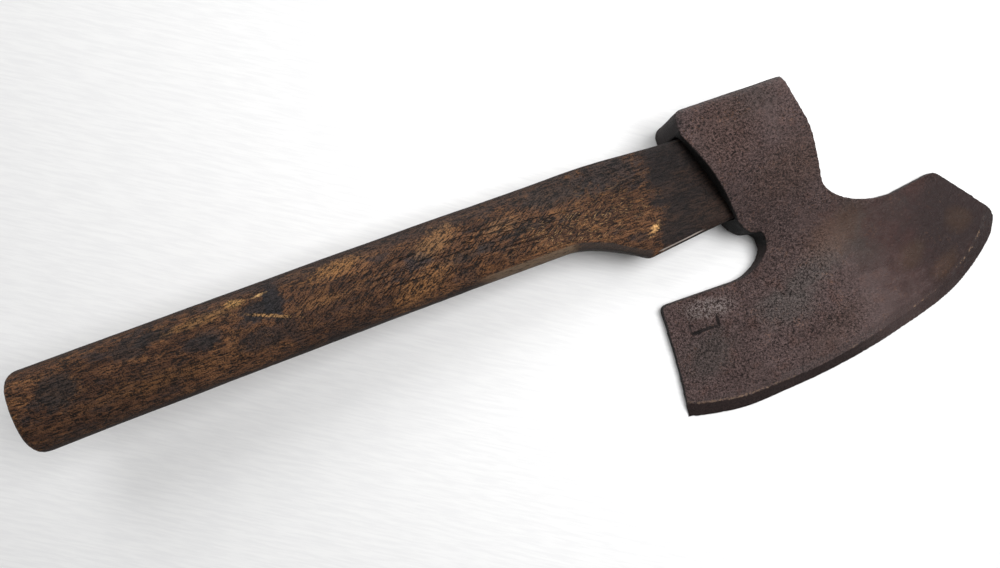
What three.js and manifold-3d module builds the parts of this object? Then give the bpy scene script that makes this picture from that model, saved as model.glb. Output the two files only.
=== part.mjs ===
// A goose wing axe: a forged head whose long blade spreads like a wing, on a short straight haft.
// It lies on the flat back of the blade, bevelled face up, and the canted haft hangs clear.
// Millimetres, +Z up. X runs along the haft towards the head, Y from the cutting edge to the poll.
// While it is shaped, X = 0 is the socket's mouth, Y = 0 the back of the eye and Z = 0 the flat back.

import * as THREE from 'three';
import { mergeVertices } from 'three/addons/utils/BufferGeometryUtils.js';
import Module from 'manifold-3d';

const { degToRad, lerp, smoothstep } = THREE.MathUtils;

// Haft: lengths along X, widths along Y, thicknesses along Z
const gripLength = 280;
const haftCant = degToRad(5);
const buttWidth = 43.4;
const buttThickness = 31;
const buttDrop = 3.4;
const buttDropCurve = 1.5;
const buttSlant = 0.05;
const buttRounding = 4;
const buttCrown = 2.5;
const waistWidth = 41.3;
const backSwell = 2.4;
const swellDistance = 58;
const shoulderLength = 40.5;
const shoulderDistance = 29.5;
const shoulderCurve = 1.5;
const gripRoundness = 2.5;
const blockRoundness = 7;
const blockBlend = 60;

// Eye, and the end of the haft that fills it
const eyeWidth = 52;
const eyeTaper = 0.118;
const eyeThickness = 28;
const eyeFrontShare = 0.55;
const fitGap = 0.35;
const mouthGap = 2.2;
const endInset = 1.2;

// Socket
const socketLength = 60.8;
const pollWall = 13;
const floorWall = 5.5;
const roofWall = 5;
const roofFall = 4;
const farLean = 10;
const farBow = 5.2;
const farDrop = 43;
const farCorner = 2;
const mouthCut = 20;
const mouthBow = 2;
const pollCorner = 8;
const pollRounding = 6;
const lipDepth = 9;
const lipLength = 15;
const lipRounding = 5;

// Neck, and the two notches beside it
const heelNotchWidth = 22.3;
const heelNotchCurve = 21;
const toeNotchDrop = 22.6;
const toeNotchReach = 44;
const fallStart = 18;
const fallEnd = 54;
const fallSkew = 0.25;
const fallBlend = 20;
const rootInset = 14;

// Blade
const heelReach = 29.6;
const heelFlare = 4.3;
const heelLength = 65.2;
const heelCorner = 5;
const toeRise = 3.6;
const toeTopLength = 27.2;
const toeEndLength = 26.3;
const toeEndDrop = 33;
const toeCorner = 3.5;
const tipRounding = 2;
const edgeTail = 10;
const heelBelly = 12.4;
const toeBelly = 39;
const rootThickness = 10;
const rimThickness = 4.2;
const rimDistance = 125;

// Bevel along the cutting edge
const edgeThickness = 0.9;
const heelBevelSlope = 0.6;
const toeBevelSlope = 0.85;

// Bare sunken stamp place on the heel
const stampLength = 18;
const stampWidth = 8.5;
const stampDepth = 0.8;
const stampInset = 10;
const stampDrop = 12;

// Fineness of the faceted surfaces, and how far the cutting bodies overshoot
const gridStep = 4;
const haftStep = 8;
const haftSides = 32;
const curveSteps = 8;
const edgeSteps = 44;
const overshoot = 12;

// Places that follow from the sizes above
const cantSlope = Math.tan(haftCant);
const waistDistance = shoulderDistance + shoulderLength;
const haftReach = waistDistance + gripLength;
const shoulderWidth = eyeWidth + shoulderDistance * eyeTaper;
const socketEnd = socketLength + farLean;
const eyeHeightAtMouth = floorWall + eyeThickness / 2 + socketEnd * cantSlope;
const socketHeight = eyeHeightAtMouth + eyeThickness / 2 + mouthGap + roofWall;
const lipY = -eyeWidth - lipDepth;
const neckX = mouthCut + lipLength;
const neckY = lipY - heelNotchWidth / 2;
const heelTopY = lipY - heelNotchWidth;
const heelEndY = heelTopY - heelLength;
const toeNotchX = socketEnd + toeNotchReach;
const toeNotchY = -farDrop - toeNotchDrop;
const toeTop = new THREE.Vector2(toeNotchX + toeTopLength, toeNotchY + toeRise);
const toeTip = new THREE.Vector2(toeTop.x + toeEndLength, toeTop.y - toeEndDrop);

// Height of the haft's middle line, which the eye shares
function axisHeight(x) {
  return eyeHeightAtMouth - x * cantSlope;
}

// Back outline of the haft, straight inside the eye and gently swelled before it
function haftBack(x) {
  if (x >= 0) {
    return 0;
  }
  const towardButt = Math.max(0, (-x - swellDistance) / (haftReach - swellDistance));
  const swell = backSwell * smoothstep(-x, 0, swellDistance);
  return swell - (buttDrop + backSwell) * Math.pow(towardButt, buttDropCurve);
}

// Front outline of the haft: the grip, the curve of the shoulder, then the taper into the eye
function haftFront(x) {
  if (x >= -shoulderDistance) {
    return -eyeWidth + eyeTaper * x;
  }
  const towardButt = Math.max(0, (-x - waistDistance) / gripLength);
  const towardShoulder = Math.max(0, 1 - (-x - shoulderDistance) / shoulderLength);
  const grip = lerp(waistWidth, buttWidth, towardButt);
  const extra = shoulderWidth + haftBack(-shoulderDistance) - waistWidth;
  return haftBack(x) - grip - extra * Math.pow(towardShoulder, shoulderCurve);
}

// Point of a rounded section: 1 is an edge of the square, and more roundness fills its corners
function sectionShare(value, roundness) {
  return Math.sign(value) * Math.pow(Math.abs(value), 2 / roundness);
}

// Point on the haft at x and an angle around it. The section is an oval in the grip and a block,
// thinner along its front, at the eye.
function haftPoint(x, angle, { grow = 0, headroom = 0, inset = 0 }) {
  const blockShare = smoothstep(x, -shoulderDistance - blockBlend, -shoulderDistance);
  const roundness = lerp(gripRoundness, blockRoundness, blockShare);
  const frontShare = lerp(1, eyeFrontShare, blockShare);
  const gripShare = Math.min(1, Math.max(0, -x / haftReach));
  const thickness = lerp(eyeThickness, buttThickness, gripShare) - 2 * inset;
  const back = haftBack(x) + grow - inset;
  const front = haftFront(x) - grow + inset;
  const across = (sectionShare(Math.cos(angle), roundness) + 1) / 2;
  const up = (sectionShare(Math.sin(angle), roundness) + 1) / 2;
  const depth = thickness * lerp(frontShare, 1, across) + 2 * grow + headroom;
  const low = axisHeight(x) - thickness / 2 - grow;
  return new THREE.Vector3(x, lerp(front, back, across), low + up * depth);
}

// One ring of the haft. Its slant leans it back along X from the front side to the back side.
function haftRing(x, options = {}) {
  const slant = options.slant ?? 0;
  const middle = (haftBack(x) + haftFront(x)) / 2;
  return Array.from({ length: haftSides }, (_, side) => {
    const angle = (side / haftSides) * 2 * Math.PI;
    const square = haftPoint(x, angle, options);
    return haftPoint(x + slant * (square.y - middle), angle, options);
  });
}

function closedGeometry(points, indices) {
  const geometry = new THREE.BufferGeometry().setFromPoints(points);
  geometry.setIndex(indices);
  return geometry;
}

// Closed body through rings of equal count. A middle point closes each end, the first one crowned.
function loft(rings, crown = 0) {
  const points = rings.flat();
  const sides = rings[0].length;
  const indices = [];
  for (let row = 0; row < rings.length - 1; row += 1) {
    for (let side = 0; side < sides; side += 1) {
      const a = row * sides + side;
      const b = row * sides + ((side + 1) % sides);
      indices.push(a, b, a + sides);
      indices.push(b, b + sides, a + sides);
    }
  }
  for (const row of [0, rings.length - 1]) {
    const middle = new THREE.Vector3();
    rings[row].forEach((point) => middle.addScaledVector(point, 1 / sides));
    middle.x -= row === 0 ? crown : 0;
    const centre = points.push(middle) - 1;
    for (let side = 0; side < sides; side += 1) {
      const a = row * sides + side;
      const b = row * sides + ((side + 1) % sides);
      indices.push(...(row === 0 ? [centre, b, a] : [centre, a, b]));
    }
  }
  return closedGeometry(points, indices);
}

// Closed block over a grid of x and y lines, between two surfaces
function slab(xLines, yLines, lower, upper) {
  const points = [];
  const indices = [];
  const columns = xLines.length;
  const rows = yLines.length;
  const layer = columns * rows;
  for (const surface of [lower, upper]) {
    for (const y of yLines) {
      for (const x of xLines) {
        points.push(new THREE.Vector3(x, y, surface(x, y)));
      }
    }
  }
  for (let row = 0; row < rows - 1; row += 1) {
    for (let column = 0; column < columns - 1; column += 1) {
      const a = row * columns + column;
      const b = a + 1;
      const c = b + columns;
      const d = a + columns;
      indices.push(a, d, b, b, d, c);
      indices.push(layer + a, layer + b, layer + d, layer + b, layer + c, layer + d);
    }
  }
  const rim = [];
  for (let column = 0; column < columns - 1; column += 1) {
    rim.push(column);
  }
  for (let row = 0; row < rows - 1; row += 1) {
    rim.push(row * columns + columns - 1);
  }
  for (let column = columns - 1; column > 0; column -= 1) {
    rim.push((rows - 1) * columns + column);
  }
  for (let row = rows - 1; row > 0; row -= 1) {
    rim.push(row * columns);
  }
  rim.forEach((a, index) => {
    const b = rim[(index + 1) % rim.length];
    indices.push(a, b, layer + a, b, layer + b, layer + a);
  });
  return closedGeometry(points, indices);
}

// Evenly spaced values from start to end, about step apart
function spaced(start, end, step) {
  const count = Math.max(1, Math.round(Math.abs(end - start) / step));
  return Array.from({ length: count + 1 }, (_, index) => lerp(start, end, index / count));
}

// Haft: rounded butt, long oval grip, shoulder, and the flat block that runs on into the eye
function haftGeometry() {
  const rings = [];
  for (const turn of spaced(0, Math.PI / 2, Math.PI / curveSteps).slice(0, -1)) {
    const x = -haftReach + buttRounding * (1 - Math.cos(turn));
    rings.push(haftRing(x, { slant: -buttSlant, inset: buttRounding * (1 - Math.sin(turn)) }));
  }
  const gripStart = -haftReach + buttRounding;
  for (const x of spaced(gripStart, -waistDistance, haftStep)) {
    rings.push(haftRing(x, { slant: buttSlant * (x + waistDistance) / gripLength }));
  }
  for (const x of spaced(-waistDistance, -shoulderDistance, haftStep / 2).slice(1)) {
    rings.push(haftRing(x));
  }
  for (const x of spaced(-shoulderDistance, 0, haftStep / 2).slice(1)) {
    rings.push(haftRing(x));
  }
  const endSlant = -farLean / eyeWidth;
  const endMiddle = socketLength - endInset + farLean / 2;
  rings.push(haftRing(endMiddle, { slant: endSlant }));
  return loft(rings, buttCrown);
}

// Cutting edge from heel to toe: one sweeping curve, then a short turn up to the tip
function cuttingEdge() {
  const heel = new THREE.Vector2(-heelReach - heelFlare, heelEndY);
  const tip = new THREE.Vector2(toeTip.x, toeTip.y - tipRounding);
  const turn = new THREE.Vector2(tip.x - edgeTail * 0.45, tip.y - edgeTail * 0.85);
  const span = turn.x - heel.x;
  const heelPull = new THREE.Vector2(heel.x + span * 0.25, heel.y - heelBelly);
  const toePull = new THREE.Vector2(turn.x - span * 0.165, turn.y - toeBelly);
  const turnPull = new THREE.Vector2(tip.x - edgeTail * 0.1, tip.y - edgeTail * 0.35);
  const edge = new THREE.CurvePath();
  edge.add(new THREE.CubicBezierCurve(heel, heelPull, toePull, turn));
  edge.add(new THREE.QuadraticBezierCurve(turn, turnPull, tip));
  return edge;
}

// Poll and the socket's far side, down to the start of the toe notch
function drawSocket(shape) {
  shape.lineTo(0, pollWall - pollCorner);
  shape.quadraticCurveTo(0, pollWall, pollCorner, pollWall);
  shape.lineTo(socketLength - farCorner, pollWall);
  shape.quadraticCurveTo(socketLength, pollWall, socketLength, pollWall - farCorner);
  shape.quadraticCurveTo(socketLength + farBow, -pollWall, socketEnd, -farDrop);
}

// Toe notch, the toe's upper side and its straight end
function drawToe(shape) {
  shape.bezierCurveTo(
    socketEnd, -farDrop - toeNotchDrop * 0.4,
    socketEnd + toeNotchReach * 0.45, toeNotchY,
    toeNotchX, toeNotchY,
  );
  const alongEnd = toeTip.clone().sub(toeTop).normalize();
  const afterTop = toeTop.clone().addScaledVector(alongEnd, toeCorner);
  const beforeTip = toeTip.clone().addScaledVector(alongEnd, -tipRounding);
  shape.lineTo(toeTop.x - toeCorner, toeTop.y);
  shape.quadraticCurveTo(toeTop.x, toeTop.y, afterTop.x, afterTop.y);
  shape.lineTo(beforeTip.x, beforeTip.y);
}

// Cutting edge back to the heel, then the heel's end up to its upper corner
function drawEdgeAndHeel(shape) {
  for (const point of cuttingEdge().getSpacedPoints(edgeSteps).reverse()) {
    shape.lineTo(point.x, point.y);
  }
  shape.quadraticCurveTo(-heelReach, heelEndY + heelLength / 2, -heelReach, heelTopY - heelCorner);
  shape.quadraticCurveTo(-heelReach, heelTopY, -heelReach + heelCorner, heelTopY);
}

// Heel notch, the lip under the eye, and the socket's mouth, cut back towards its front
function drawNotchAndMouth(shape) {
  shape.lineTo(neckX - heelNotchCurve, heelTopY);
  shape.bezierCurveTo(
    neckX - heelNotchCurve / 2, heelTopY,
    neckX, neckY - heelNotchWidth * 0.13,
    neckX, neckY + heelNotchWidth * 0.13,
  );
  shape.quadraticCurveTo(neckX, lipY, neckX - lipRounding, lipY);
  shape.quadraticCurveTo(mouthCut + lipRounding, lipY, mouthCut, -eyeWidth);
  shape.quadraticCurveTo(mouthCut / 2 + mouthBow, -eyeWidth / 2, 0, 0);
}

// Outline of the whole head, seen from above
function headOutline() {
  const shape = new THREE.Shape();
  shape.moveTo(0, 0);
  drawSocket(shape);
  drawToe(shape);
  drawEdgeAndHeel(shape);
  drawNotchAndMouth(shape);
  return shape;
}

// Height of the upper face: the socket's roof, its fall over the neck, and the thinning blade
function upperFace(x, y) {
  const fromRoot = Math.hypot(x - neckX - rootInset, y - neckY);
  const blade = lerp(rootThickness, rimThickness, Math.min(1, fromRoot / rimDistance));
  const roof = socketHeight - roofFall * Math.min(1, Math.max(0, x / socketEnd));
  const pastNeck = (x - neckX + Math.hypot(x - neckX, fallBlend)) / 2;
  const rise = y - neckY - fallSkew * pastNeck;
  const height = lerp(blade, roof, smoothstep(rise, -fallStart, fallEnd));
  const fromPoll = Math.min(pollRounding, Math.max(0, pollWall - y));
  const shortfall = pollRounding - fromPoll;
  return height - pollRounding + Math.sqrt(Math.max(0, pollRounding ** 2 - shortfall ** 2));
}

// Wedge that cuts the bevel along the whole edge, running past both of its ends
function bevelCutter() {
  const edge = cuttingEdge();
  const rings = spaced(0, 1, 1 / edgeSteps).map((share) => {
    const along = edge.getTangentAt(share);
    const inward = new THREE.Vector2(-along.y, along.x);
    const slope = lerp(heelBevelSlope, toeBevelSlope, share);
    const point = edge.getPointAt(share);
    point.addScaledVector(along, share === 0 ? -overshoot : 0);
    point.addScaledVector(along, share === 1 ? overshoot : 0);
    const corner = (distance, height) => {
      const place = point.clone().addScaledVector(inward, distance);
      return new THREE.Vector3(place.x, place.y, height);
    };
    return [
      corner(-overshoot / 2, edgeThickness - slope * (overshoot / 2)),
      corner(overshoot, edgeThickness + slope * overshoot),
      corner(overshoot, socketHeight),
      corner(-overshoot / 2, socketHeight),
    ];
  });
  return loft(rings);
}

// Shallow rectangle near the heel's upper corner, its floor following the blade's face
function stampCutter() {
  const left = -heelReach + stampInset;
  const high = heelTopY - stampDrop;
  const xLines = spaced(left, left + stampLength, gridStep);
  const yLines = spaced(high - stampWidth, high, gridStep);
  const floor = (x, y) => upperFace(x, y) - stampDepth;
  const above = (x, y) => upperFace(x, y) + overshoot;
  return slab(xLines, yLines, floor, above);
}

// The haft's own section grown by the fitting gap, with extra headroom that runs out inside
function eyeCutter() {
  const farX = socketEnd + overshoot;
  const headroomAt = (x) => mouthGap * (1 - x / farX);
  const ends = [-overshoot, farX].map((x) => haftRing(x, { grow: fitGap, headroom: headroomAt(x) }));
  return loft(ends);
}

const wasm = await Module();
wasm.setup();

function toSolid(geometry) {
  const bare = geometry.clone();
  bare.deleteAttribute('normal');
  bare.deleteAttribute('uv');
  const merged = mergeVertices(bare, 1e-4);
  return new wasm.Manifold(new wasm.Mesh({
    numProp: 3,
    vertProperties: new Float32Array(merged.attributes.position.array),
    triVerts: new Uint32Array(merged.index.array),
  }));
}

function toGeometry(solid) {
  const mesh = solid.getMesh();
  const geometry = new THREE.BufferGeometry();
  geometry.setAttribute('position', new THREE.BufferAttribute(mesh.vertProperties, 3));
  geometry.setIndex(new THREE.BufferAttribute(mesh.triVerts, 1));
  return geometry;
}

// Head: one forging, the socket and the blade, with the eye, the bevel and the stamp place cut
function headGeometry() {
  const outline = new THREE.ExtrudeGeometry(headOutline(), {
    depth: socketHeight + overshoot,
    bevelEnabled: false,
    curveSegments: curveSteps,
  });
  const roundRows = spaced(0, Math.PI / 2, Math.PI / curveSteps)
    .map((turn) => pollWall - pollRounding * (1 - Math.cos(turn)));
  const lowest = heelEndY - heelBelly - gridStep;
  const yLines = [
    ...spaced(lowest, pollWall - pollRounding, gridStep).slice(0, -1),
    ...roundRows.reverse(),
    pollWall + gridStep,
  ];
  const xLines = spaced(-heelReach - heelFlare - gridStep, toeTip.x + gridStep, gridStep);
  const crown = slab(xLines, yLines, () => -overshoot, upperFace);
  const head = toSolid(crown)
    .intersect(toSolid(outline))
    .subtract(toSolid(eyeCutter()))
    .subtract(toSolid(bevelCutter()))
    .subtract(toSolid(stampCutter()));
  return toGeometry(head);
}

const rustedIron = new THREE.MeshStandardMaterial({ color: 0x4a3a36, roughness: 0.72, metalness: 0.6 });
const darkWood = new THREE.MeshStandardMaterial({ color: 0x4e331d, roughness: 0.6, metalness: 0 });

function piece(name, geometry, material) {
  geometry.computeVertexNormals();
  const mesh = new THREE.Mesh(geometry, material);
  mesh.name = name;
  return mesh;
}

const axe = new THREE.Group();
axe.add(piece('axe_head', headGeometry(), rustedIron));
axe.add(piece('haft', haftGeometry(), darkWood));

// The finished axe is centred in X and Y over the surface it lies on
const bounds = new THREE.Box3().setFromObject(axe);
const middle = bounds.getCenter(new THREE.Vector3());
axe.position.set(-middle.x, -middle.y, -bounds.min.z);

export default axe;
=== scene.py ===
"""A goose wing axe on its short haft, lying on a pale table and seen from straight above.

The forged head and the haft are copies of the solids, remeshed and given their rust, dents and grain.
Lengths are in metres, in the frame of the solids: X runs along the haft to the head, Z is up.
"""

import bisect
import math

import bpy
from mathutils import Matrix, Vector


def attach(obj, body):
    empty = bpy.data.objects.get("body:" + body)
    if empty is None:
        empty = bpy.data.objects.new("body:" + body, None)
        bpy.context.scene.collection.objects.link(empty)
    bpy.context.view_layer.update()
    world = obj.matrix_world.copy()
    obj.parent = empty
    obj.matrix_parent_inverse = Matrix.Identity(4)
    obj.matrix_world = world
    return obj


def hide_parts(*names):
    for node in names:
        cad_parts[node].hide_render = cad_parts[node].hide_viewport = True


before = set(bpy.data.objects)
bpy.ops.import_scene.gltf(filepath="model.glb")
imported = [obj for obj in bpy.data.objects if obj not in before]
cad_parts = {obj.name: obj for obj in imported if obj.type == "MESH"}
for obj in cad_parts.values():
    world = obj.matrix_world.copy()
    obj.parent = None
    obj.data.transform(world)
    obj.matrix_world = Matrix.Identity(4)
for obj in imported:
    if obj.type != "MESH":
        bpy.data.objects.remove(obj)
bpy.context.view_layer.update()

MM = 0.001

# the camera of the photograph stands straight above the table
photo_width = 1000
focal_pixels = 700
sensor_width_mm = 36
camera_height = 400 * MM
camera_x = -18.4 * MM
camera_y = 28.3 * MM
haft_turn = math.radians(19.2)

# the haft rises from the eye to the butt by this angle
haft_cant = math.radians(5)

# the painted table with the turn of its brush strokes, and how bright the room is
table_size = 30
stroke_turn = math.radians(31)
dimmest_room = 0.1
brightest_room = 0.78

# fineness of the two remeshed pieces
iron_voxel = 0.82 * MM
wood_voxel = 0.95 * MM

# the relief in their surfaces, as the width of its dents and their depth, which is mostly inward
hammer_marks = (17 * MM, 0.7 * MM)
small_dents = (5 * MM, 0.35 * MM)
rust_pits = (2.4 * MM, 0.6 * MM)
whittled_hollows = (12 * MM, 0.8 * MM)
raised_grain = (2.5 * MM, 0.35 * MM)
outward_share = 0.3
hollow_stretch = (5, 1, 1)
grain_stretch = (12, 1, 1)

# places on the head, of which the neck's line and the crease of the socket run at a slant
neck_line = 168 * MM
neck_slant = 0.25
socket_crease = 62 * MM
crease_slant = 0.14
mouth_box = ((84 * MM, 116 * MM), (10 * MM, 71 * MM))
mouth_low = 4 * MM
table_gap = 0.03 * MM

# the bare stamp place on the heel, pressed deeper at its lower side
stamp_place = Vector((82.6, -29.8, 7)) * MM
stamp_length = 16.6 * MM
stamp_width = 8.5 * MM
stamp_extra = 0.5 * MM
stamp_wall_outside = 0.3 * MM
stamp_wall_inside = 0.5 * MM

# a nick in the heel's end
nick_place = Vector((60.3, -31, 4)) * MM
nick_radius = 3 * MM
nick_depth = 1.6 * MM

# the cutting edge is an arc about this place, and the bevel and the thin rim lie along it
edge_centre = Vector((112, 62, 0)) * MM
rim_start = 115 * MM
edge_from = math.radians(-110.5)
edge_to = math.radians(-30.5)
edge_slice = math.radians(3)
fine_slice = math.radians(0.6)
edge_fade = math.radians(1.5)
edge_thickness = 0.9 * MM
rim_thickness = 4.2 * MM
rim_blend = 10 * MM
rim_core = 3.2 * MM
edge_height = 3 * MM
bevel_height = 7 * MM
pull_start = 6 * MM
pull_full = 0.5 * MM

# the bevel is steepest at one angle and gets gentler away from it
steepest_bevel = 0.58
gentlest_bevel = 0.42
steepest_angle = math.radians(-78)
bevel_easing = 0.3

# at these two angles the cutting edge bellies out beyond the solid's arc
edge_belly = 1.2 * MM
belly_angles = (math.radians(-98), math.radians(-48))
belly_spread = math.radians(11)

# the front edge of the haft is shaved off along the shoulder
facet_width = 4.2 * MM
facet_start = -8 * MM
facet_full = 22 * MM
facet_end = 62 * MM
facet_end_blend = 4 * MM
block_facet = 1.3 * MM
facet_slice = 1.5 * MM
front_slice = 2 * MM


# Working on a mesh

def ramp(value, low, high):
    """0 at the low value, 1 at the high one, with a smooth rise between them."""
    share = min(max((value - low) / (high - low), 0), 1)
    return share * share * (3 - 2 * share)


def choose(piece):
    """Selects one piece alone, which is what Blender's own tools work on."""
    bpy.ops.object.select_all(action="DESELECT")
    piece.select_set(True)
    bpy.context.view_layer.objects.active = piece


def copy_of_solid(node_name, piece_name):
    """A new piece with the solid's mesh, its loose triangles merged."""
    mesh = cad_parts[node_name].data.copy()
    piece = bpy.data.objects.new(piece_name, mesh)
    bpy.context.scene.collection.objects.link(piece)
    choose(piece)
    bpy.ops.object.mode_set(mode="EDIT")
    bpy.ops.mesh.select_all(action="SELECT")
    bpy.ops.mesh.remove_doubles(threshold=0.01 * MM)
    bpy.ops.object.mode_set(mode="OBJECT")
    mesh.materials.clear()
    return piece


def apply_modifier(piece, kind, **settings):
    choose(piece)
    modifier = piece.modifiers.new(kind.lower(), kind)
    for name, value in settings.items():
        setattr(modifier, name, value)
    bpy.ops.object.modifier_apply(modifier=modifier.name)


def weigh(piece, name, weight_at):
    """A vertex group whose weight follows from each point's place and normal."""
    group = piece.vertex_groups.new(name=name)
    for vertex in piece.data.vertices:
        weight = weight_at(vertex.co, vertex.normal)
        if weight > 0:
            group.add([vertex.index], min(weight, 1), "REPLACE")


def relief(piece, size, depth, group="", stretch=None):
    """Cloudy dents of about that size pressed into the surface. A stretch draws them out along the haft."""
    clouds = bpy.data.textures.new("relief", "CLOUDS")
    clouds.noise_scale = size
    clouds.noise_depth = 2
    clouds.noise_basis = "IMPROVED_PERLIN"
    settings = {"texture": clouds, "strength": depth, "mid_level": 1 - outward_share, "vertex_group": group}
    guide = None
    if stretch:
        bpy.ops.object.empty_add(rotation=(0, haft_cant, 0))
        guide = bpy.context.active_object
        guide.scale = stretch
        bpy.context.view_layer.update()
        settings["texture_coords"] = "OBJECT"
        settings["texture_coords_object"] = guide
    apply_modifier(piece, "DISPLACE", **settings)
    if guide:
        bpy.data.objects.remove(guide)


def push(piece, place, radius, move):
    """Moves the points near a place, the most in its middle, as a blow or a nick does."""
    for vertex in piece.data.vertices:
        share = 1 - (vertex.co - place).length / radius
        if share > 0:
            vertex.co += move * share * share * (3 - 2 * share)


def within(offset, half_width):
    """1 inside the stamp's walls and 0 outside them."""
    return ramp(abs(offset), half_width + stamp_wall_outside, half_width - stamp_wall_inside)


def sink_stamp(piece):
    """Presses the worn stamp's lower side deeper than its upper side, which is nearly rubbed away."""
    upper_points = [vertex for vertex in piece.data.vertices if vertex.normal.z > 0.3]
    for vertex in upper_points:
        offset = vertex.co - stamp_place
        inside_length = within(offset.x, stamp_length / 2)
        inside_width = within(offset.y, stamp_width / 2)
        lower = ramp(offset.y, stamp_width / 2, -stamp_width / 2)
        vertex.co.z -= stamp_extra * inside_length * inside_width * lower


def lift_off_the_table(piece):
    """Keeps the underside flat and a hair above the table."""
    for vertex in piece.data.vertices:
        vertex.co.z = max(vertex.co.z, table_gap)


# Shader nodes

def connect(tree, node, wires):
    """Fills a node's inputs. A wire is another node's output or a plain value."""
    for socket, value in wires.items():
        if isinstance(value, bpy.types.NodeSocket):
            tree.links.new(value, node.inputs[socket])
        else:
            node.inputs[socket].default_value = value


def add(tree, kind, wires=None, **settings):
    """A new node with its settings and its wires."""
    node = tree.nodes.new(kind)
    for name, value in settings.items():
        setattr(node, name, value)
    connect(tree, node, wires or {})
    return node


def fine_noise(tree, point, scale, detail, roughness):
    """Cloudy noise from 0 to 1 with about that many features in a metre."""
    wires = {"Vector": point, "Scale": scale, "Detail": detail, "Roughness": roughness}
    return add(tree, "ShaderNodeTexNoise", wires).outputs["Fac"]


def noise(tree, point, size, detail, roughness):
    """Cloudy noise from 0 to 1 with features of about that size."""
    return fine_noise(tree, point, 1 / size, detail, roughness)


def remap(tree, value, low, high, new_low=0.0, new_high=1.0):
    """The new low value at the low one and the new high at the high, with a smooth change between."""
    wires = {"Value": value, "From Min": low, "From Max": high, "To Min": new_low, "To Max": new_high}
    return add(tree, "ShaderNodeMapRange", wires, interpolation_type="SMOOTHSTEP").outputs["Result"]


def maths(tree, operation, first, second=0.0):
    return add(tree, "ShaderNodeMath", {0: first, 1: second}, operation=operation).outputs[0]


def times(tree, first, second):
    return maths(tree, "MULTIPLY", first, second)


def apart(tree, first, second):
    """How far apart two values are."""
    return maths(tree, "ABSOLUTE", maths(tree, "SUBTRACT", first, second))


def swing(tree, cloud, width):
    """Noise moved to swing about zero, over about that width."""
    return times(tree, maths(tree, "SUBTRACT", cloud, 0.5), width)


def stretched(tree, point, share):
    """The point with its axes shrunk, which draws a pattern out along them."""
    return add(tree, "ShaderNodeVectorMath", {0: point, 1: share}, operation="MULTIPLY").outputs[0]


def turned(tree, point, angle, axis="Z_AXIS"):
    """The point turned about an axis, which turns a pattern the other way."""
    wires = {"Vector": point, "Angle": angle}
    return add(tree, "ShaderNodeVectorRotate", wires, rotation_type=axis).outputs[0]


def along_x(tree, vector):
    return add(tree, "ShaderNodeSeparateXYZ", {0: vector}).outputs["X"]


def facing_up(tree):
    """1 on a top face, 0 on a side and -1 on an underside."""
    normal = add(tree, "ShaderNodeNewGeometry").outputs["True Normal"]
    return add(tree, "ShaderNodeSeparateXYZ", {0: normal}).outputs["Z"]


def attribute(tree, name):
    return add(tree, "ShaderNodeAttribute", attribute_name=name).outputs["Fac"]


def shaded(tree, colour, shade):
    """The colour made darker or lighter by a factor."""
    return add(tree, "ShaderNodeVectorMath", {0: colour, "Scale": shade}, operation="SCALE").outputs[0]


def blend(tree, share, first, second):
    """The first value where the share is 0 and the second where it is 1. Inputs 2 and 3 take numbers."""
    return add(tree, "ShaderNodeMix", {0: share, 2: first, 3: second}).outputs[0]


def over(tree, below, colour, mask):
    """One colour laid over another where the mask is 1. Inputs 6 and 7 and output 2 are colours."""
    return add(tree, "ShaderNodeMix", {0: mask, 6: below, 7: colour}, data_type="RGBA").outputs[2]


def new_group(name, inputs, outputs):
    """A node group with named inputs and number outputs. An input without a value takes a vector."""
    tree = bpy.data.node_groups.new(name, "ShaderNodeTree")
    for label, value in inputs.items():
        kind = "NodeSocketVector" if value is None or isinstance(value, tuple) else "NodeSocketFloat"
        socket = tree.interface.new_socket(label, in_out="INPUT", socket_type=kind)
        if value is not None:
            socket.default_value = value
    for label in outputs:
        tree.interface.new_socket(label, in_out="OUTPUT", socket_type="NodeSocketFloat")
    return tree, tree.nodes.new("NodeGroupInput").outputs, tree.nodes.new("NodeGroupOutput").inputs


def use_group(tree, group, **wires):
    node = add(tree, "ShaderNodeGroup", node_tree=group)
    connect(tree, node, {name.replace("_", " "): value for name, value in wires.items()})
    return node.outputs


def make_ragged_patch():
    """A mask that is 1 inside an egg shape about a place, with a ragged border."""
    inputs = {"Point": None, "Place": (0.0, 0.0, 0.0), "Size": (0.01, 0.01, 0.01), "Turn": 0.0,
              "Raggedness": 0.8, "Grain": 250.0, "Softness": 0.4}
    tree, given, result = new_group("ragged patch", inputs, ["Mask"])
    from_place = add(tree, "ShaderNodeVectorMath", {0: given["Point"], 1: given["Place"]},
                     operation="SUBTRACT").outputs[0]
    upright = turned(tree, from_place, times(tree, given["Turn"], -1.0))
    shares = add(tree, "ShaderNodeVectorMath", {0: upright, 1: given["Size"]},
                 operation="DIVIDE").outputs[0]
    distance = add(tree, "ShaderNodeVectorMath", {0: shares}, operation="LENGTH").outputs["Value"]
    tear = swing(tree, fine_noise(tree, given["Point"], given["Grain"], 5.0, 0.65), given["Raggedness"])
    border = maths(tree, "ADD", distance, tear)
    outer = maths(tree, "ADD", 1.0, given["Softness"])
    inner = maths(tree, "SUBTRACT", 1.0, given["Softness"])
    tree.links.new(remap(tree, border, outer, inner), result["Mask"])
    return tree


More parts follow.
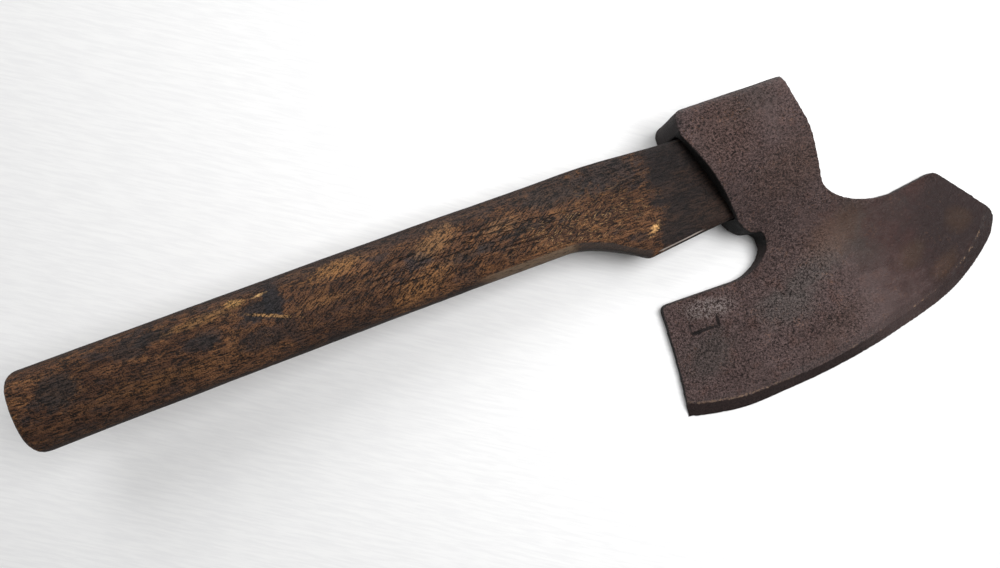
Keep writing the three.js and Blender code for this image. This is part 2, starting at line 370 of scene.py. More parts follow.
def make_edge_wear_and_hollow_shade():
    """Masks of the rubbed edges and of the hollows, where shade is painted."""
    inputs = {"Point": None, "Start": 0.52, "Full": 0.6, "Breakup": 300.0, "Hollow Start": 0.49,
              "Hollow Full": 0.43}
    tree, given, result = new_group("edge wear and hollow shade", inputs, ["Edges", "Hollows"])
    sharpness = add(tree, "ShaderNodeNewGeometry").outputs["Pointiness"]
    breakup = fine_noise(tree, given["Point"], given["Breakup"], 4.0, 0.6)
    edges = remap(tree, sharpness, given["Start"], given["Full"])
    rubbed = times(tree, edges, remap(tree, breakup, 0.35, 0.6))
    tree.links.new(rubbed, result["Edges"])
    tree.links.new(remap(tree, sharpness, given["Hollow Start"], given["Hollow Full"]), result["Hollows"])
    return tree


def make_grit():
    """Height of a rough, grainy skin with a finer grain on top, and a mask of its deepest pits."""
    inputs = {"Point": None, "Grain": 900.0, "Pit Share": 0.4, "Fine Share": 0.5}
    tree, given, result = new_group("grit", inputs, ["Height", "Pits"])
    coarse = fine_noise(tree, given["Point"], given["Grain"], 3.0, 0.65)
    fine = fine_noise(tree, given["Point"], times(tree, given["Grain"], 2.3), 2.0, 0.5)
    low = maths(tree, "SUBTRACT", given["Pit Share"], 0.06)
    high = maths(tree, "ADD", given["Pit Share"], 0.02)
    tree.links.new(remap(tree, coarse, high, low), result["Pits"])
    coarse = times(tree, coarse, maths(tree, "SUBTRACT", 1.0, given["Fine Share"]))
    fine = times(tree, fine, given["Fine Share"])
    tree.links.new(maths(tree, "ADD", coarse, fine), result["Height"])
    return tree


def make_specks():
    """Scattered specks that cover about the given share of the surface, in clusters."""
    inputs = {"Point": None, "Grain": 700.0, "Share": 0.3, "Cluster": 60.0}
    tree, given, result = new_group("specks", inputs, ["Mask"])
    grain = fine_noise(tree, given["Point"], given["Grain"], 3.0, 0.65)
    cluster = fine_noise(tree, given["Point"], given["Cluster"], 3.0, 0.6)
    mixed = maths(tree, "ADD", times(tree, grain, 0.6), times(tree, cluster, 0.4))
    level = maths(tree, "SUBTRACT", 0.66, times(tree, given["Share"], 0.3))
    full = maths(tree, "ADD", level, 0.06)
    tree.links.new(remap(tree, mixed, level, full), result["Mask"])
    return tree


ragged_patch = make_ragged_patch()
edge_wear_and_hollow_shade = make_edge_wear_and_hollow_shade()
grit = make_grit()
specks = make_specks()


def new_material(name):
    """A new material with its node tree and its shader."""
    material = bpy.data.materials.new(name)
    material.use_nodes = True
    tree = material.node_tree
    return material, tree, tree.nodes["Principled BSDF"]


def patch(tree, point, place, size, grain, raggedness, softness, turn=0):
    """The mask of one ragged patch, its place and size in millimetres and its turn in degrees."""
    return use_group(tree, ragged_patch, Point=point, Place=Vector(place) * MM, Size=Vector(size) * MM,
                     Turn=math.radians(turn), Raggedness=raggedness, Grain=grain, Softness=softness)["Mask"]


def lay_patches(tree, point, colour, patches, grain, raggedness, softness):
    """Lays each patch of another tone over the colour: place, size, turn, tone and strength."""
    for place, size, turn, tone, strength in patches:
        mask = patch(tree, point, place, size, grain, raggedness, softness, turn)
        colour = over(tree, colour, (*tone, 1), times(tree, mask, strength))
    return colour


# millimetres, degrees and the tone of each patch of other rust, or of painted shade
rust_and_shade_patches = [
    ((132, 76, 38), (16, 9, 40), 20, (0.04, 0.034, 0.03), 0.45),
    ((116, 62, 36), (14, 18, 40), 0, (0.085, 0.041, 0.027), 0.35),
    ((144, 36, 30), (22, 12, 40), 10, (0.08, 0.041, 0.026), 0.4),
    ((80, -47, 9), (16, 11, 40), 30, (0.036, 0.033, 0.03), 0.5),
    ((150, -22, 10), (20, 8, 40), 25, (0.062, 0.057, 0.053), 0.5),
    ((128, -36, 9), (16, 9, 40), 0, (0.066, 0.06, 0.056), 0.5),
    ((184, -10, 9), (14, 20, 40), 10, (0.024, 0.021, 0.017), 0.7),
    ((168, -6, 9), (19, 10, 40), 20, (0.078, 0.04, 0.024), 0.5),
    ((153, -58, 8), (20, 8, 40), 30, (0.062, 0.036, 0.028), 0.35),
    # these two darken the right blade as painted shade
    ((220, -18, 5), (36, 36, 40), -30, (0.033, 0.0108, 0.0092), 0.88),
    ((238, -18, 5), (30, 40, 40), -20, (0.0155, 0.0075, 0.0072), 0.86),
    ((122, 52, 36), (34, 40, 26), 0, (0.044, 0.0255, 0.0235), 0.45),
    ((205, -32, 7), (9, 6, 40), 40, (0.05, 0.026, 0.014), 0.5),
    ((222, -44, 6), (9, 5, 40), 30, (0.05, 0.024, 0.012), 0.5),
    ((222, 8, 6), (10, 6, 40), 60, (0.046, 0.019, 0.0145), 0.5),
    ((238, -22, 5), (7, 6, 40), 0, (0.045, 0.022, 0.0105), 0.5),
    ((205, -2, 7), (8, 12, 40), 0, (0.024, 0.0165, 0.0145), 0.4),
    # painted shade on the poll's end
    ((90, 77, 22), (6, 16, 30), 0, (0.012, 0.0092, 0.0105), 0.9),
]
# dark lines painted as shade along the stamp's lower and side walls
stamp_shade_lines = [
    ((82.8, -33.9, 7), (8.6, 0.8, 5), 0, (0.003, 0.002, 0.002), 0.85),
    ((77.4, -34, 7), (3.4, 1.1, 5), 0, (0.003, 0.002, 0.002), 0.9),
    ((74.6, -31, 7), (0.8, 3.8, 5), -3, (0.005, 0.004, 0.004), 0.7),
    ((90.5, -31.2, 7), (0.9, 3.3, 5), -2, (0.004, 0.003, 0.003), 0.85),
]
# dark patches painted as shade on side faces by the notch and at the heel's end
painted_side_shade = [
    ((124, 7, 12), (10, 8, 15), 0, (0.003, 0.0025, 0.0025), 0.95),
    ((112, 14, 15), (10, 6, 20), 0, (0.013, 0.012, 0.012), 0.8),
    ((62, -45, 4), (9, 34, 12), 0, (0.003, 0.0025, 0.0025), 0.9),
]


def make_rusted_iron():
    """Dark purple-brown iron: pitted on the socket and the left wing, smoother on the right blade."""
    material, tree, shader = new_material("rusted_iron")
    point = add(tree, "ShaderNodeTexCoord").outputs["Object"]
    pitted = attribute(tree, "pitted_share")
    mouth = attribute(tree, "mouth_shade_share")
    bevel = attribute(tree, "bevel_share")
    facing = facing_up(tree)
    flat = maths(tree, "ABSOLUTE", facing)
    side = remap(tree, flat, 0.75, 0.4)

    # the even rust, and the patches of other rust or of painted shade
    broad = remap(tree, noise(tree, point, 22 * MM, 5, 0.6), 0.38, 0.62)
    colour = over(tree, (0.058, 0.036, 0.0335, 1), (0.074, 0.048, 0.0455, 1), broad)
    mottle = remap(tree, noise(tree, point, 4 * MM, 5, 0.65), 0.42, 0.66)
    colour = over(tree, colour, (0.088, 0.06, 0.0545, 1), times(tree, mottle, 0.25))
    reddish = remap(tree, noise(tree, point, 9 * MM, 4, 0.6), 0.52, 0.66)
    colour = over(tree, colour, (0.07, 0.033, 0.025, 1), times(tree, reddish, 0.35))
    colour = lay_patches(tree, point, colour, rust_and_shade_patches, grain=110.0, raggedness=1.6, softness=0.55)

    orange = use_group(tree, specks, Point=point, Grain=800.0, Share=0.3, Cluster=90.0)["Mask"]
    orange = times(tree, orange, remap(tree, pitted, 0.0, 1.0, 0.2, 0.35))
    colour = over(tree, colour, (0.14, 0.066, 0.034, 1), orange)

    # the pitted skin, darker in its pits and lighter on its grains, with painted glints on its grains
    skin = use_group(tree, grit, Point=point, Grain=900.0, Pit_Share=0.38, Fine_Share=0.45)
    rough = remap(tree, noise(tree, point, 12 * MM, 3, 0.5), 0.3, 0.55, 0.6, 1.0)
    rough = times(tree, rough, pitted)
    grain = remap(tree, skin["Height"], 0.4, 0.6, 0.2, 1.97)
    plain = remap(tree, skin["Height"], 0.36, 0.64, 0.85, 1.18)
    colour = shaded(tree, colour, blend(tree, rough, plain, grain))
    pits = times(tree, times(tree, skin["Pits"], rough), 0.8)
    colour = over(tree, colour, (0.011, 0.0072, 0.0068, 1), pits)
    painted_glints = times(tree, remap(tree, skin["Height"], 0.53, 0.6), rough)
    colour = over(tree, colour, (0.24, 0.19, 0.18, 1), times(tree, painted_glints, 0.15))
    glint_place = patch(tree, point, (87.5, -23, 9), (13, 5.5, 20), grain=150.0, raggedness=1.2, softness=0.5,
                   turn=-7)
    granule_glints = times(tree, remap(tree, skin["Height"], 0.49, 0.56), glint_place)
    colour = over(tree, colour, (0.3, 0.26, 0.245, 1), times(tree, granule_glints, 0.7))
    holes = use_group(tree, specks, Point=point, Grain=420.0, Share=0.1, Cluster=150.0)["Mask"]
    colour = over(tree, colour, (0.006, 0.004, 0.004, 1), times(tree, holes, pitted))
    # dark lines painted as shade along the stamp's walls
    colour = lay_patches(tree, point, colour, stamp_shade_lines, grain=700.0, raggedness=1.2, softness=0.35)

    # the ground bevel, darker in its own tone and as painted shade, its rubbed crest and the light flecks
    # along it
    torn_bevel = maths(tree, "ADD", bevel, swing(tree, noise(tree, point, 1.6 * MM, 4, 0.6), 0.35))
    ground = times(tree, remap(tree, torn_bevel, 1.05, 0.93), remap(tree, facing, 0.1, 0.4))
    ground = times(tree, ground, remap(tree, along_x(tree, point), 150 * MM, 195 * MM, 1.0, 0.5))
    colour = over(tree, colour, (0.0135, 0.0058, 0.0052, 1), times(tree, ground, 0.88))
    crest = remap(tree, apart(tree, torn_bevel, 1.04), 0.14, 0.03)
    rubbed = remap(tree, noise(tree, point, 14 * MM, 5, 0.75), 0.5, 0.58)
    at_heel = patch(tree, point, (88, -72, 4), (26, 14, 20), grain=120.0, raggedness=1.6, softness=0.4)
    rubbed = maths(tree, "MAXIMUM", rubbed, at_heel)
    flecks = remap(tree, noise(tree, point, 1.5 * MM, 3, 0.7), 0.46, 0.56)
    crest = times(tree, times(tree, crest, rubbed), flecks)
    colour = over(tree, colour, (0.31, 0.2, 0.13, 1), times(tree, crest, 0.68))

    # painted shade on the sides, at the ends of the notch and the heel, and black in the mouth of the
    # socket; the worn corners; painted shade in the hollows
    colour = over(tree, colour, (0.026, 0.019, 0.0185, 1), times(tree, side, 0.76))
    side_shade = lay_patches(tree, point, colour, painted_side_shade, grain=200.0, raggedness=0.6, softness=0.3)
    colour = over(tree, colour, side_shade, remap(tree, flat, 0.85, 0.6))
    colour = over(tree, colour, (0.003, 0.0022, 0.002, 1), times(tree, mouth, 0.97))
    wear_and_shade = use_group(tree, edge_wear_and_hollow_shade, Point=point, Start=0.54, Full=0.62, Breakup=260.0,
                     Hollow_Start=0.47, Hollow_Full=0.4)
    colour = over(tree, colour, (0.13, 0.085, 0.068, 1), times(tree, wear_and_shade["Edges"], 0.4))
    # painted shade in the hollows
    colour = over(tree, colour, (0.009, 0.006, 0.006, 1), times(tree, wear_and_shade["Hollows"], 0.8))

    tree.links.new(colour, shader.inputs["Base Color"])
    shader.inputs["Metallic"].default_value = 0.1
    shader.inputs["Specular IOR Level"].default_value = 0.3
    roughness = remap(tree, noise(tree, point, 3 * MM, 5, 0.6), 0.35, 0.65, 0.42, 0.6)
    dull = times(tree, maths(tree, "MAXIMUM", side, ground), 0.8)
    roughness = maths(tree, "MAXIMUM", roughness, dull)
    tree.links.new(roughness, shader.inputs["Roughness"])

    smooth_skin = times(tree, noise(tree, point, 1.2 * MM, 5, 0.65), 0.3)
    pitted_skin = maths(tree, "SUBTRACT", skin["Height"], times(tree, skin["Pits"], 0.15))
    height = blend(tree, rough, smooth_skin, pitted_skin)
    bump = add(tree, "ShaderNodeBump", {"Height": height, "Strength": 1.0, "Distance": 2.2 * MM})
    tree.links.new(bump.outputs["Normal"], shader.inputs["Normal"])
    return material


# millimetres, degrees and the tone of each stain and rubbed spot on the haft
wood_stains = [
    ((-126, 57, 60), (4.5, 12, 30), 4, (0.009, 0.0085, 0.0105), 0.92),
    ((-134, 54.5, 60), (8, 5, 30), 0, (0.01, 0.009, 0.0105), 0.9),
    ((-134, 41, 60), (12, 5, 30), 0, (0.013, 0.0095, 0.0095), 0.75),
    ((-164, 48.5, 60), (9, 3.5, 30), -3, (0.012, 0.0095, 0.01), 0.8),
    ((-184, 59, 60), (10, 3.2, 30), 0, (0.011, 0.0085, 0.0085), 0.8),
    ((-121, 40, 60), (3, 8, 30), 10, (0.013, 0.0095, 0.0095), 0.7),
    ((-104, 29, 60), (6, 5, 30), 30, (0.009, 0.007, 0.008), 0.8),
    ((-100, 41, 60), (26, 14, 30), 0, (0.028, 0.0125, 0.007), 0.5),
    ((-215, 36, 60), (42, 9, 30), 4, (0.03, 0.0135, 0.0075), 0.5),
    ((-234, 49, 60), (10, 9, 30), 20, (0.013, 0.0115, 0.0115), 0.75),
    ((-196, 57, 60), (9, 5, 30), 0, (0.014, 0.0115, 0.0115), 0.7),
    ((-160, 50, 60), (7, 4, 30), 0, (0.014, 0.0115, 0.0115), 0.6),
    ((-53, 52, 60), (8, 4, 30), 0, (0.014, 0.013, 0.0155), 0.8),
    ((-30, 47, 60), (12, 2.5, 30), 5, (0.011, 0.009, 0.009), 0.6),
    ((5, 50, 60), (20, 1.6, 30), 3, (0.011, 0.009, 0.0085), 0.7),
    ((25, 62, 60), (26, 7, 30), -5, (0.018, 0.0145, 0.0135), 0.7),
    ((54, 63, 60), (24, 11, 30), -4, (0.019, 0.0145, 0.014), 0.85),
    ((-30.5, 37, 60), (5, 3.5, 30), 0, (0.014, 0.0115, 0.0115), 0.7),
    ((-19, 48, 60), (5, 3, 30), 0, (0.013, 0.011, 0.0115), 0.7),
    ((3, 51.4, 60), (8, 0.6, 30), 1, (0.004, 0.003, 0.003), 0.9),
    ((-3, 49.2, 60), (6, 0.5, 30), 2, (0.004, 0.003, 0.003), 0.85),
    ((-70, 69.5, 60), (150, 6.5, 30), 0, (0.026, 0.0165, 0.0135), 0.6),
    ((75, 40, 60), (5, 9, 30), 20, (0.0115, 0.0135, 0.0165), 0.75),
]
wood_gold = [
    ((-144, 62, 60), (3.6, 1.7, 30), -8, (0.25, 0.14, 0.048), 0.8),
    ((-131.5, 61.9, 60), (2.8, 0.6, 30), 6, (0.33, 0.2, 0.085), 0.85),
    ((-128.4, 50.3, 60), (10, 0.75, 30), -22, (0.24, 0.13, 0.05), 0.85),
    ((-160, 59.5, 60), (16, 2.2, 30), 2, (0.16, 0.08, 0.027), 0.55),
    ((-182, 38, 60), (36, 3.5, 30), 0, (0.085, 0.038, 0.013), 0.5),
    ((-103, 49, 60), (14, 2, 30), 0, (0.13, 0.06, 0.022), 0.5),
    ((-92, 62.5, 60), (13, 3.2, 30), 3, (0.2, 0.095, 0.031), 0.6),
    ((-42, 59, 60), (11, 5, 30), 20, (0.18, 0.092, 0.036), 0.5),
    ((-8, 55.5, 60), (9, 3.5, 30), 0, (0.12, 0.07, 0.035), 0.45),
    ((-55, 40, 60), (16, 6, 30), 20, (0.17, 0.078, 0.027), 0.5),
    ((-12, 36, 60), (26, 4, 30), -3, (0.11, 0.046, 0.018), 0.5),
    ((68.5, 29, 58), (4.6, 2.1, 30), 32, (0.6, 0.34, 0.13), 0.95),
    ((-258, 47, 60), (2.0, 17, 30), 0, (0.13, 0.055, 0.021), 0.6),
]


def make_dark_wood():
    """Old dark wood, handled to a golden brown on its faces, with painted shade on its sides, black in its
    grain and near the eye.
    """
    material, tree, shader = new_material("dark_wood")
    place = add(tree, "ShaderNodeTexCoord").outputs["Object"]
    from_front = attribute(tree, "from_front")
    point = turned(tree, place, -haft_cant, "Y_AXIS")
    along = along_x(tree, place)
    grain_point = stretched(tree, point, (0.07, 1.0, 1.0))
    short_point = stretched(tree, point, (0.22, 1.0, 1.0))
    drawn_point = stretched(tree, point, (0.4, 1.0, 1.0))
    slanted = stretched(tree, turned(tree, point, math.radians(-32)), (0.17, 1.0, 1.0))
    crossed = stretched(tree, turned(tree, point, math.radians(24)), (0.12, 1.0, 1.0))
    facing = facing_up(tree)
    flat = maths(tree, "ABSOLUTE", facing)
    face = remap(tree, flat, 0.45, 0.92)
    upper = remap(tree, facing, -0.1, 0.2)

    # handled wood, with its stains and the spots that are rubbed golden
    broad = remap(tree, noise(tree, drawn_point, 12 * MM, 6, 0.65), 0.38, 0.62)
    colour = over(tree, (0.029, 0.0125, 0.0065, 1), (0.069, 0.03, 0.0135, 1), broad)
    mottle = remap(tree, noise(tree, drawn_point, 5 * MM, 6, 0.72), 0.48, 0.66)
    colour = over(tree, colour, (0.15, 0.067, 0.024, 1), times(tree, mottle, 0.5))
    blots = remap(tree, noise(tree, drawn_point, 8 * MM, 6, 0.7), 0.53, 0.63)
    colour = over(tree, colour, (0.0155, 0.0115, 0.0118, 1), times(tree, blots, 0.75))
    colour = lay_patches(tree, place, colour, wood_stains, grain=330.0, raggedness=1.7, softness=0.3)
    colour = lay_patches(tree, place, colour, wood_gold, grain=420.0, raggedness=2.6, softness=0.6)

    # fine fibres along the grain, and slanted crackle over the middle of the haft
    fibre = noise(tree, short_point, 0.9 * MM, 4, 0.65)
    crackle = noise(tree, slanted, 0.8 * MM, 3, 0.55)
    crumbs = noise(tree, point, 0.8 * MM, 3, 0.6)
    crackled = patch(tree, place, (-45, 50, 60), (95, 15, 40), grain=60.0, raggedness=1.4, softness=0.5)
    hatched = blend(tree, crackled, fibre, crackle)
    texture = maths(tree, "ADD", times(tree, hatched, 0.6), times(tree, crumbs, 0.4))
    colour = shaded(tree, colour, remap(tree, texture, 0.42, 0.58, 0.1, 2.05))

    # light scratches near the shoulder, and dark splits along the grain
    scratched = patch(tree, place, (36, 42, 60), (34, 14, 40), grain=110.0, raggedness=1.8, softness=0.6)
    scratches = remap(tree, noise(tree, crossed, 0.6 * MM, 2, 0.5), 0.62, 0.7)
    hairs = remap(tree, noise(tree, slanted, 0.5 * MM, 2, 0.5), 0.62, 0.7)
    scratches = times(tree, maths(tree, "MAXIMUM", scratches, hairs), scratched)
    colour = over(tree, colour, (0.4, 0.23, 0.1, 1), times(tree, scratches, 0.75))

    split = apart(tree, noise(tree, grain_point, 2.6 * MM, 2, 0.4), 0.5)
    split_here = patch(tree, place, (-25, 49, 60), (60, 10, 40), grain=70.0, raggedness=1.5, softness=0.4)
    splits = times(tree, remap(tree, split, 0.02, 0.006), split_here)
    colour = over(tree, colour, (0.005, 0.0035, 0.003, 1), times(tree, splits, 0.85))

    # the sides and the facet that is shaved along the shoulder, both darkened as painted shade
    side = remap(tree, flat, 0.75, 0.3)
    colour = over(tree, colour, (0.0135, 0.009, 0.008, 1), times(tree, side, 0.8))
    on_shoulder = times(tree, remap(tree, along, 20 * MM, 30 * MM),
                        remap(tree, along, 66 * MM, 62 * MM))
    facet = times(tree, remap(tree, from_front, 5.2 * MM, 4.2 * MM), on_shoulder)
    facet = times(tree, facet, upper)
    colour = over(tree, colour, (0.033, 0.026, 0.0235, 1), times(tree, facet, 0.85))
    before_shoulder = times(tree, remap(tree, along, -32 * MM, -15 * MM),
                            remap(tree, along, 27 * MM, 22 * MM))
    strip = times(tree, remap(tree, from_front, 4.6 * MM, 3.6 * MM), before_shoulder)
    strip = times(tree, strip, remap(tree, fibre, 0.3, 0.5))
    strip = times(tree, strip, upper)
    colour = over(tree, colour, (0.17, 0.115, 0.073, 1), times(tree, strip, 0.8))

    # the wood is nearly black by the eye, with a painted highlight as a light line along its front edge
    ragged_along = maths(tree, "ADD", along, swing(tree, noise(tree, place, 9 * MM, 5, 0.65), 30 * MM))
    near_eye = remap(tree, ragged_along, 68 * MM, 76 * MM)
    eye_tone = over(tree, (0.0115, 0.0088, 0.0088, 1), (0.0235, 0.0145, 0.0118, 1), broad)
    eye_tone = shaded(tree, eye_tone, remap(tree, texture, 0.38, 0.62, 0.4, 1.6))
    colour = over(tree, colour, eye_tone, times(tree, near_eye, 0.9))
    on_block = times(tree, remap(tree, along, 66 * MM, 70 * MM), remap(tree, along, 96 * MM, 88 * MM))
    line = remap(tree, apart(tree, from_front, 1.9 * MM), 0.5 * MM, 0.2 * MM)
    line = times(tree, line, times(tree, on_block, upper))
    colour = over(tree, colour, (0.42, 0.36, 0.32, 1), times(tree, line, 0.85))

    tree.links.new(colour, shader.inputs["Base Color"])
    shader.inputs["Specular IOR Level"].default_value = 0.2
    roughness = remap(tree, face, 0.0, 1.0, 0.75, 0.46)
    tree.links.new(roughness, shader.inputs["Roughness"])
    height = maths(tree, "SUBTRACT", texture, times(tree, splits, 0.6))
    bump = add(tree, "ShaderNodeBump", {"Height": height, "Strength": 1.0, "Distance": 1.3 * MM})
    tree.links.new(bump.outputs["Normal"], shader.inputs["Normal"])
    return material


# The two pieces

def write_attribute(piece, name, value_at):
    """Keeps a value that follows from each point's place and normal, for the material to read."""
    values = piece.data.attributes.new(name, "FLOAT", "POINT").data
    for vertex in piece.data.vertices:
        values[vertex.index].value = value_at(vertex.co, vertex.normal)


def pitted_at(point, normal):
    """The lower socket, the neck and the left wing are deeply pitted, and the right blade is not."""
    wing = ramp(point.x + neck_slant * point.y, neck_line + 8 * MM, neck_line - 30 * MM)
    upper_socket = ramp(point.y + crease_slant * point.x, socket_crease, socket_crease + 12 * MM)
    socket = ramp(point.y, -5 * MM, 20 * MM) * (1 - 0.4 * upper_socket)
    return max(wing, socket) if point.z > 1 * MM else 0.3


def forged_at(point, normal):
    """Hammer marks show on the upper faces, less so on the sides, the thin rim and the stamp."""
    by_stamp = ramp((point - stamp_place).length, 8 * MM, 16 * MM)
    thick = ramp(point.z, 1.5 * MM, 6 * MM)
    return ramp(normal.z, -0.9, 0.8) * (0.25 + 0.75 * thick) * (0.3 + 0.7 * by_stamp)


def eaten_at(point, normal):
    """Where rust has eaten pits that are deep enough to model."""
    return pitted_at(point, normal) * (0.4 + 0.6 * ramp(normal.z, 0.2, 0.8))


def round_the_edge(point):
    """A point's angle and distance about the place where the arc of the cutting edge is centred."""
    offset = point - edge_centre
    return math.atan2(offset.y, offset.x), math.hypot(offset.x, offset.y)


def rim_at(point, normal):
    """The thin last stretch before the cutting edge."""
    angle, distance = round_the_edge(point)
    return ramp(distance, rim_start, rim_start + rim_blend) * ramp(point.z, rim_thickness, rim_core)


def mouth_shade_at(point, normal):
    """The faces round the eye that look along the haft, which are painted black as shade."""
    (start, end), (front, back) = mouth_box
    if start < point.x < end and front < point.y < back and point.z > mouth_low:
        return ramp(-normal.x, 0.3, 0.62)
    return 0


def farthest(piece, slice_width):
    """The outline of the piece along the cutting edge, as an angle and a distance for each slice."""
    outline = {}
    for vertex in piece.data.vertices:
        angle, distance = round_the_edge(vertex.co)
        if vertex.co.z < edge_height and edge_from <= angle <= edge_to:
            index = int((angle - edge_from) / slice_width)
            outline[index] = max(outline.get(index, (0, 0)), (distance, angle))
    return sorted((angle, distance) for distance, angle in outline.values())


def along_outline(outline, place):
    """An outline's value at a place along it, straight between its points."""
    index = bisect.bisect(outline, (place, 0))
    if index == 0 or index == len(outline):
        return outline[min(index, len(outline) - 1)][1]
    (low, start), (high, end) = outline[index - 1], outline[index]
    return start + (end - start) * (place - low) / (high - low)


def belly(angle):
    """How far the worn cutting edge stands out beyond the solid's arc."""
    return edge_belly * sum(ramp(abs(angle - middle), belly_spread, 0) for middle in belly_angles)


def true_the_edge(head, outline):
    """Draws the wavering rim of the remeshed head out to the solid's cutting edge."""
    own = farthest(head, fine_slice)
    for vertex in head.data.vertices:
        angle, distance = round_the_edge(vertex.co)
        if distance < rim_start or vertex.co.z > rim_thickness or not edge_from < angle < edge_to:
            continue
        reach = along_outline(own, angle)
        move = along_outline(outline, angle) - reach
        move *= ramp(distance, reach - pull_start, reach - pull_full)
        move *= ramp(angle, edge_from, edge_from + edge_fade) * ramp(angle, edge_to, edge_to - edge_fade)
        vertex.co.x += move * math.cos(angle)
        vertex.co.y += move * math.sin(angle)


def bevel_slope(angle):
    """How much the bevel rises for its width, at an angle along the cutting edge."""
    return max(gentlest_bevel, steepest_bevel - bevel_easing * abs(angle - steepest_angle))


def grind_bevel(head, outline):
    """Cuts the bevel: the top of the rim is lowered on a straight slope to the cutting edge."""
    for vertex in head.data.vertices:
        angle, distance = round_the_edge(vertex.co)
        if distance > rim_start and vertex.co.z < bevel_height:
            from_edge = max(along_outline(outline, angle) - distance, 0)
            limit = edge_thickness + bevel_slope(angle) * from_edge
            vertex.co.z = min(vertex.co.z, limit)


def bevel_share(outline, point):
    """0 on the cutting edge, 1 where the bevel meets the face, more beyond it."""
    angle, distance = round_the_edge(point)
    width = (rim_thickness - edge_thickness) / bevel_slope(angle)
    return (along_outline(outline, angle) - distance) / width


def make_head():
    """The forged head: a copy of its solid with a trued edge, a ground bevel, forging marks and pits."""
    head = copy_of_solid("axe_head", "forged_head")
    outline = [(angle, distance + belly(angle)) for angle, distance in farthest(head, edge_slice)]
    apply_modifier(head, "REMESH", mode="VOXEL", voxel_size=iron_voxel, adaptivity=0)
    apply_modifier(head, "SMOOTH", factor=0.5, iterations=1)
    weigh(head, "eaten", eaten_at)
    weigh(head, "forged", forged_at)
    weigh(head, "rim", rim_at)
    apply_modifier(head, "SMOOTH", factor=0.5, iterations=6, vertex_group="rim")
    true_the_edge(head, outline)
    grind_bevel(head, outline)
    relief(head, *hammer_marks, group="forged")
    relief(head, *small_dents, group="forged")
    relief(head, *rust_pits, group="eaten")
    sink_stamp(head)
    push(head, nick_place, nick_radius, Vector((nick_depth, 0, 0)))
    lift_off_the_table(head)
    write_attribute(head, "pitted_share", pitted_at)
    write_attribute(head, "mouth_shade_share", mouth_shade_at)
    write_attribute(head, "bevel_share", lambda point, normal: bevel_share(outline, point))
    bpy.ops.object.shade_smooth()
    head.data.materials.append(make_rusted_iron())
    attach(head, "root")
    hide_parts("axe_head")


def front_outline(haft):
    """The haft's front edge, as X and the lowest Y for each slice."""
    front = {}
    for vertex in haft.data.vertices:
        index = round(vertex.co.x / front_slice)
        front[index] = min(front.get(index, 1), vertex.co.y)
    return sorted((index * front_slice, y) for index, y in front.items())


def shave_shoulder(haft, front):
    """Cuts a sloping facet along the haft's front top edge, wide at the shoulder, slight on the block."""
    top = {}
    for vertex in haft.data.vertices:
        index = round(vertex.co.x / facet_slice)
        top[index] = max(top.get(index, 0), vertex.co.z)
    for vertex in haft.data.vertices:
        x = vertex.co.x
        width = facet_width * ramp(x, facet_start, facet_full)
        width += (block_facet - width) * ramp(x, facet_end, facet_end + facet_end_blend)
        inside = vertex.co.y - along_outline(front, x)
        limit = top[round(x / facet_slice)] - (width - inside)
        if inside < width and vertex.co.z > limit:
            vertex.co.z = limit


def make_haft():
    """The haft: a copy of its solid with a shaved shoulder, whittled hollows and raised grain."""
    haft = copy_of_solid("haft", "wooden_haft")
    apply_modifier(haft, "REMESH", mode="VOXEL", voxel_size=wood_voxel, adaptivity=0)
    front = front_outline(haft)
    shave_shoulder(haft, front)
    apply_modifier(haft, "SMOOTH", factor=0.5, iterations=1)
    relief(haft, *whittled_hollows, stretch=hollow_stretch)
    relief(haft, *raised_grain, stretch=grain_stretch)
    write_attribute(haft, "from_front", lambda point, normal: point.y - along_outline(front, point.x))
    bpy.ops.object.shade_smooth()
    haft.data.materials.append(make_dark_wood())
    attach(haft, "root")
    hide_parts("haft")


# The table, the light and the camera

def make_table():
    """A wide painted table top with faint brush strokes."""
    bpy.ops.mesh.primitive_plane_add(size=table_size, location=(0, 0, 0))
    table = bpy.context.active_object
    table.name = "pale_table"
    material, tree, shader = new_material("pale_table")
    point = add(tree, "ShaderNodeTexCoord").outputs["Object"]
    along_strokes = stretched(tree, turned(tree, point, stroke_turn), (0.09, 1.0, 1.0))
    strokes = remap(tree, noise(tree, along_strokes, 2 * MM, 5, 0.65), 0.35, 0.65)
    paint = over(tree, (0.81, 0.81, 0.813, 1), (0.862, 0.862, 0.86, 1), strokes)
    tree.links.new(paint, shader.inputs["Base Color"])
    shader.inputs["Roughness"].default_value = 0.6
    table.data.materials.append(material)


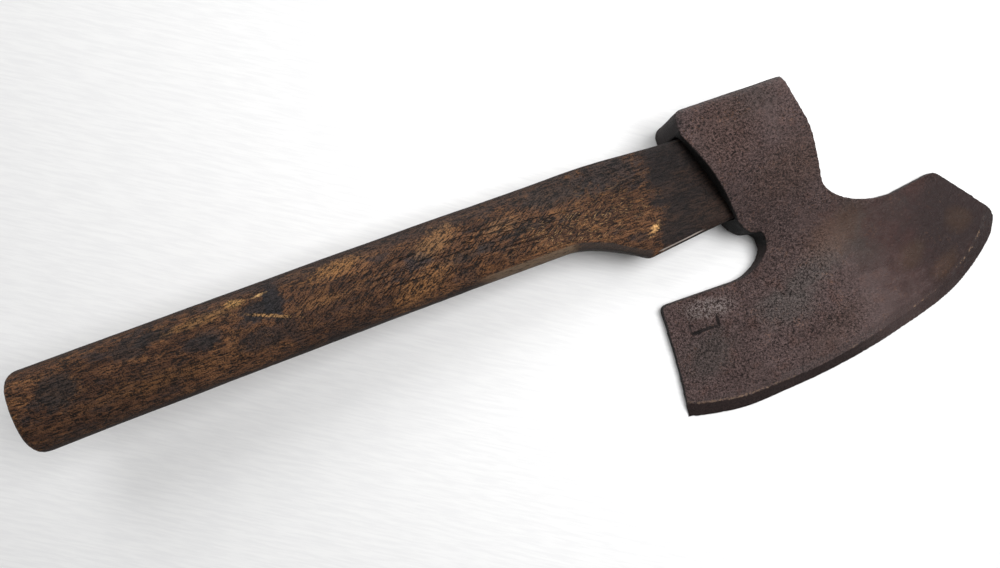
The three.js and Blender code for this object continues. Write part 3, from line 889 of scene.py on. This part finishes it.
def add_soft_light(name, toward, distance, size, watts):
    """A square soft light that stands off in a direction and faces the middle of the axe."""
    data = bpy.data.lights.new(name, "AREA")
    data.shape = "SQUARE"
    data.size = size
    data.energy = watts
    light = bpy.data.objects.new(name, data)
    bpy.context.scene.collection.objects.link(light)
    light.location = Vector(toward).normalized() * distance
    light.rotation_euler = (-Vector(toward)).to_track_quat("-Z", "Y").to_euler()


def in_photo(right, up, height):
    """A direction given by the photograph's own right, up and height above the table."""
    x = right * math.cos(haft_turn) + up * math.sin(haft_turn)
    y = up * math.cos(haft_turn) - right * math.sin(haft_turn)
    return (x, y, height)


def light_the_scene():
    """A dim room, brighter towards the top of the photograph, a window there and a lamp over the head."""
    world = bpy.data.worlds.new("soft_room")
    world.use_nodes = True
    tree = world.node_tree
    background = tree.nodes["Background"]
    direction = add(tree, "ShaderNodeTexCoord").outputs["Generated"]
    toward_window = Vector(in_photo(0.15, 0.85, 0.35)).normalized()
    nearness = add(tree, "ShaderNodeVectorMath", {0: direction, 1: toward_window},
                   operation="DOT_PRODUCT").outputs["Value"]
    strength = remap(tree, nearness, -0.35, 0.95, dimmest_room, brightest_room)
    tree.links.new(strength, background.inputs["Strength"])
    background.inputs["Color"].default_value = (1, 1, 1, 1)
    bpy.context.scene.world = world
    add_soft_light("window", in_photo(-0.4, 0.95, 1.0), distance=1.6, size=0.7, watts=7)
    add_soft_light("lamp", in_photo(0.26, 0.12, 0.6), distance=0.7, size=0.35, watts=4)
    bpy.context.scene.view_settings.view_transform = "Standard"


def make_camera():
    """The camera of the photograph, turned so that the haft lies as it does there."""
    data = bpy.data.cameras.new("photo_camera")
    data.sensor_width = sensor_width_mm
    data.lens = sensor_width_mm * focal_pixels / photo_width
    data.clip_start = 10 * MM
    camera = bpy.data.objects.new("photo_camera", data)
    bpy.context.scene.collection.objects.link(camera)
    camera.location = (camera_x, camera_y, camera_height)
    camera.rotation_euler = (0, 0, -haft_turn)
    bpy.context.scene.camera = camera


make_head()
make_haft()
make_table()
light_the_scene()
make_camera()
